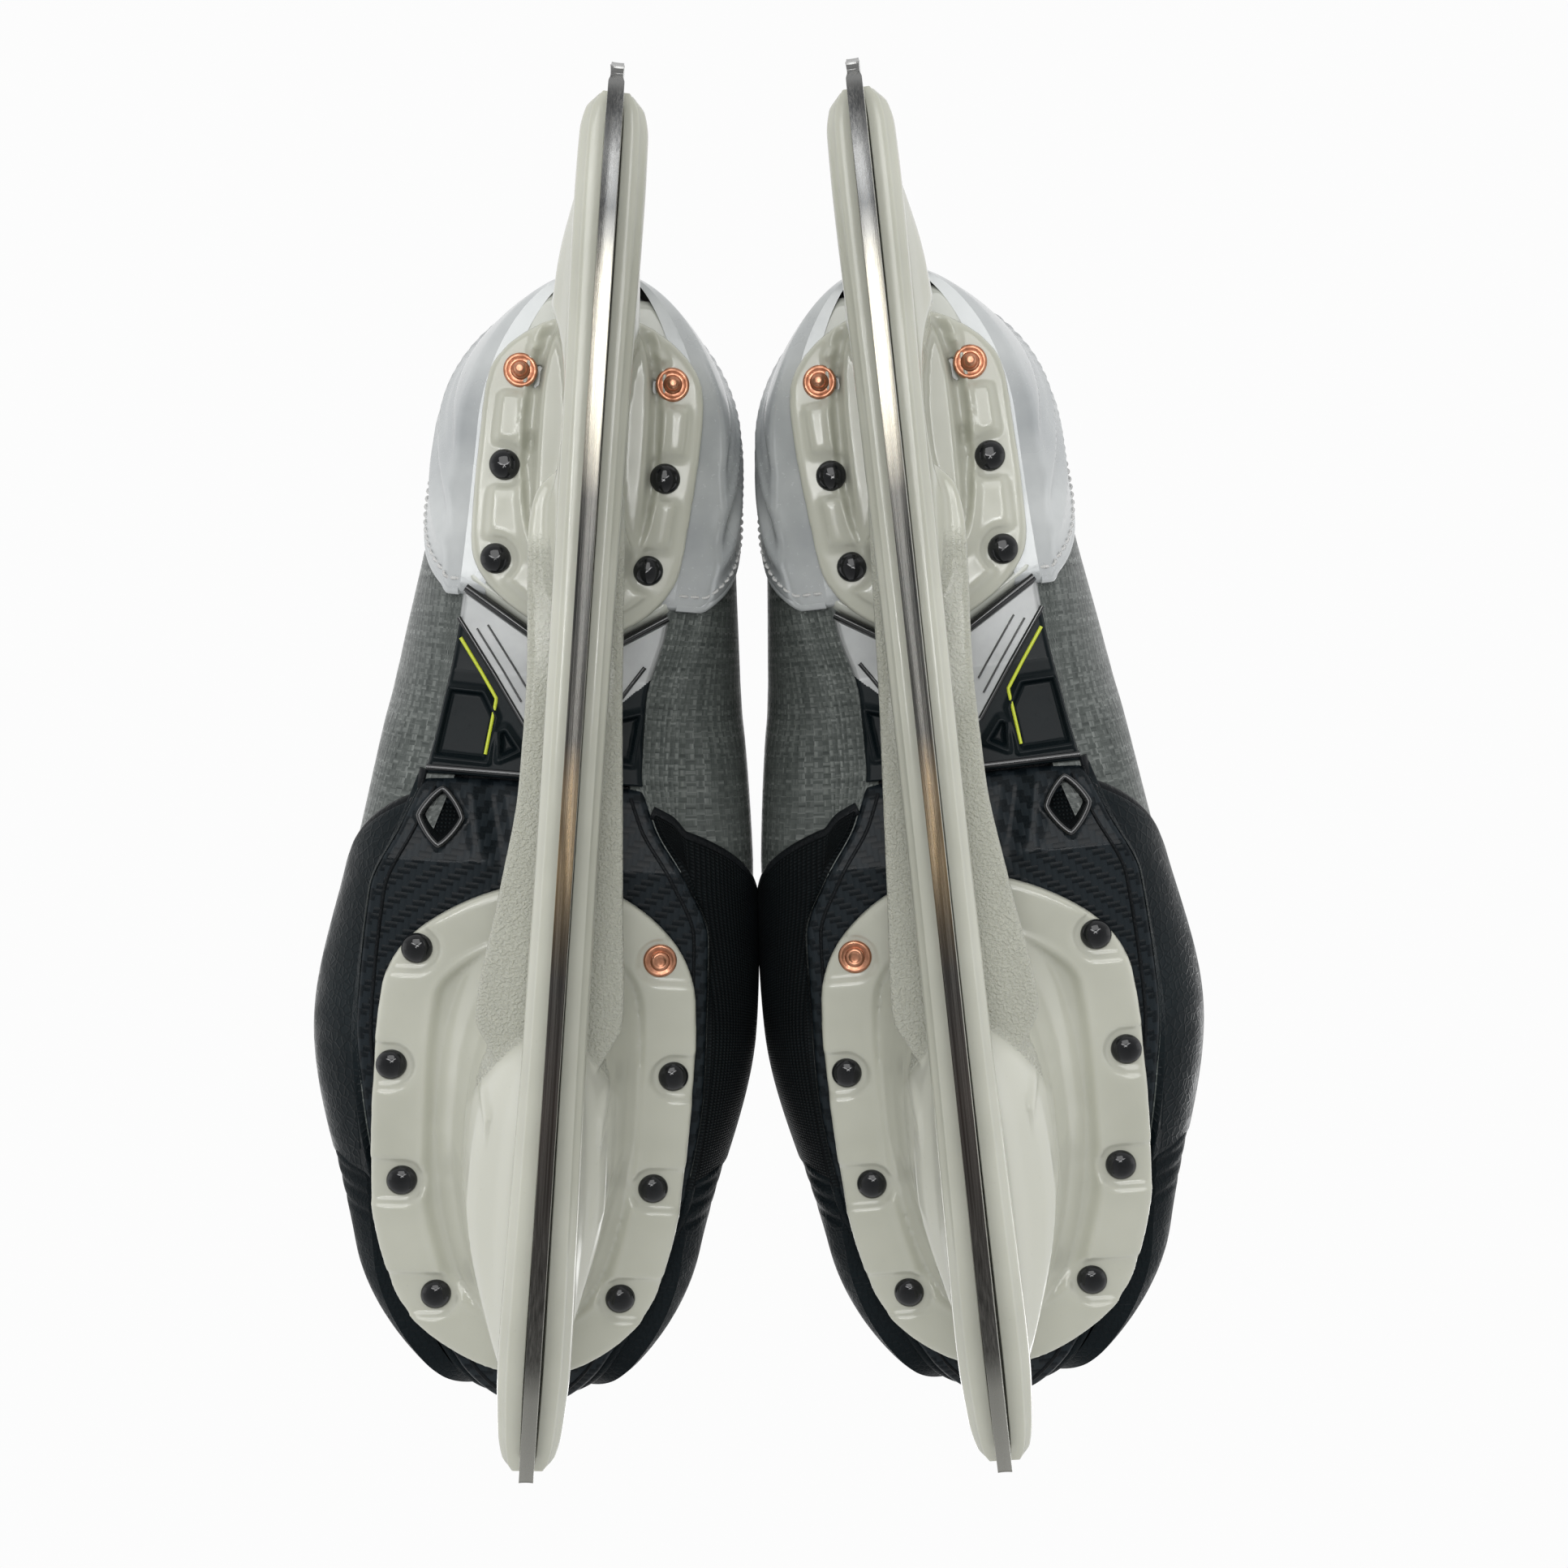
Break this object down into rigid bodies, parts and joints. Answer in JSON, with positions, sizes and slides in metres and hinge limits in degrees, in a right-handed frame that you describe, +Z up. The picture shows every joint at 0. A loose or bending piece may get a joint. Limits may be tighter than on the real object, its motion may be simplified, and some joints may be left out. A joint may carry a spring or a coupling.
{
  "type": "ice hockey skates",
  "caption": "Pair of ice hockey skates: stiff laced boot shells riveted to moulded blade holders, each with a removable steel runner and finger release.",
  "frame": {"origin": "middle of the pair's underside, on the surface the two blades stand on", "axes": "+Z up, +Y towards the heels, +X towards the wearer's left skate; the pair is a mirror image about X = 0"},
  "size_m": [0.2216, 0.2922, 0.2685],
  "materials": {
    "runner_steel": "ground and polished stainless steel",
    "holder_plastic": "glossy off-white moulded nylon with pebbled faces on the bridge",
    "black_plastic": "moulded black plastic",
    "carbon_composite": "clear-coated twill carbon composite",
    "black_gloss_panel": "glossy black moulding with a silver panel and a thin yellow-green line",
    "heel_white": "glossy white moulding",
    "quarter_composite": "grey woven composite under a satin coat, black overlays towards the toe",
    "pearl_cover": "pearl-white coated synthetic leather with stitched edge",
    "toe_black": "satin black moulded toe cap",
    "tongue_felt": "grey felt tongue with bound edge",
    "guard_black": "flexible black plastic",
    "liner_fabric": "brushed microfibre over foam",
    "footbed_foam": "fabric-covered moulded foam",
    "black_rivet": "domed steel, glossy black",
    "copper": "bare copper"
  },
  "bodies": {
    "left_boot": {"left_front_holder": "holder_plastic", "left_rear_holder": "holder_plastic", "left_trigger_pin": "runner_steel", "left_trigger_spring": "runner_steel", "left_outsole": "carbon_composite", "left_midfoot_panel": "black_gloss_panel", "left_heel_plate": "heel_white", "left_quarter_shell": "quarter_composite", "left_heel_counter": "pearl_cover", "left_toe_cap": "toe_black", "left_liner": "liner_fabric", "left_footbed": "footbed_foam", "left_front_outer_rivet_1": "black_rivet", "left_front_inner_rivet_1": "black_rivet", "left_front_outer_rivet_2": "black_rivet", "left_front_inner_rivet_2": "black_rivet", "left_front_outer_rivet_3": "black_rivet", "left_front_inner_rivet_3": "black_rivet", "left_front_outer_rivet_4": "black_rivet", "left_front_inner_rivet_4": "copper", "left_rear_outer_rivet_1": "copper", "left_rear_inner_rivet_1": "copper", "left_rear_outer_rivet_2": "black_rivet", "left_rear_inner_rivet_2": "black_rivet", "left_rear_outer_rivet_3": "black_rivet", "left_rear_inner_rivet_3": "black_rivet"},
    "left_runner": {"left_runner": "runner_steel"},
    "left_trigger": {"left_release_trigger": "black_plastic"},
    "left_tongue": {"left_tongue": "tongue_felt"},
    "left_tendon_guard": {"left_tendon_guard": "guard_black"},
    "right_boot": {"right_front_holder": "holder_plastic", "right_rear_holder": "holder_plastic", "right_trigger_pin": "runner_steel", "right_trigger_spring": "runner_steel", "right_outsole": "carbon_composite", "right_midfoot_panel": "black_gloss_panel", "right_heel_plate": "heel_white", "right_quarter_shell": "quarter_composite", "right_heel_counter": "pearl_cover", "right_toe_cap": "toe_black", "right_liner": "liner_fabric", "right_footbed": "footbed_foam", "right_front_outer_rivet_1": "black_rivet", "right_front_inner_rivet_1": "black_rivet", "right_front_outer_rivet_2": "black_rivet", "right_front_inner_rivet_2": "black_rivet", "right_front_outer_rivet_3": "black_rivet", "right_front_inner_rivet_3": "black_rivet", "right_front_outer_rivet_4": "black_rivet", "right_front_inner_rivet_4": "copper", "right_rear_outer_rivet_1": "copper", "right_rear_inner_rivet_1": "copper", "right_rear_outer_rivet_2": "black_rivet", "right_rear_inner_rivet_2": "black_rivet", "right_rear_outer_rivet_3": "black_rivet", "right_rear_inner_rivet_3": "black_rivet"},
    "right_runner": {"right_runner": "runner_steel"},
    "right_trigger": {"right_release_trigger": "black_plastic"},
    "right_tongue": {"right_tongue": "tongue_felt"},
    "right_tendon_guard": {"right_tendon_guard": "guard_black"}
  },
  "joints": [
    {"name": "pair_spacing", "type": "slide", "parent": "left_boot", "child": "right_boot", "axis": [-1, 0, 0], "range_m": [0, 0.15]},
    {"name": "left_runner_drop", "type": "hinge", "parent": "left_boot", "child": "left_runner", "pos_m": [0.05061, -0.1256, 0.02502], "axis": [-0.9896, -0.0988, 0.1045], "range_deg": [0, 8]},
    {"name": "left_trigger_pull", "type": "hinge", "parent": "left_boot", "child": "left_trigger", "pos_m": [0.02965, 0.10647, 0.0459], "axis": [-0.9896, -0.0988, 0.1045], "range_deg": [0, 14], "stiffness_Nm_per_rad": 0.05, "springref_deg": -11.46},
    {"name": "left_tongue_pull", "type": "hinge", "parent": "left_boot", "child": "left_tongue", "pos_m": [0.05614, -0.07781, 0.12248], "axis": [0.9896, 0.0988, -0.1045], "range_deg": [0, 35], "stiffness_Nm_per_rad": 0.6, "springref_deg": -5.73},
    {"name": "left_guard_flex", "type": "hinge", "parent": "left_boot", "child": "left_tendon_guard", "pos_m": [0.04563, 0.12113, 0.211], "axis": [-0.9896, -0.0988, 0.1045], "range_deg": [0, 12], "stiffness_Nm_per_rad": 2, "springref_deg": -2.86},
    {"name": "right_runner_drop", "type": "hinge", "parent": "right_boot", "child": "right_runner", "pos_m": [-0.05061, -0.1256, 0.02502], "axis": [-0.9896, 0.0988, -0.1045], "range_deg": [0, 8]},
    {"name": "right_trigger_pull", "type": "hinge", "parent": "right_boot", "child": "right_trigger", "pos_m": [-0.02965, 0.10647, 0.0459], "axis": [-0.9896, 0.0988, -0.1045], "range_deg": [0, 14], "stiffness_Nm_per_rad": 0.05, "springref_deg": -11.46},
    {"name": "right_tongue_pull", "type": "hinge", "parent": "right_boot", "child": "right_tongue", "pos_m": [-0.05614, -0.07781, 0.12248], "axis": [0.9896, -0.0988, 0.1045], "range_deg": [0, 35], "stiffness_Nm_per_rad": 0.6, "springref_deg": -5.73},
    {"name": "right_guard_flex", "type": "hinge", "parent": "right_boot", "child": "right_tendon_guard", "pos_m": [-0.04563, 0.12113, 0.211], "axis": [-0.9896, 0.0988, -0.1045], "range_deg": [0, 12], "stiffness_Nm_per_rad": 2, "springref_deg": -2.86}
  ]
}
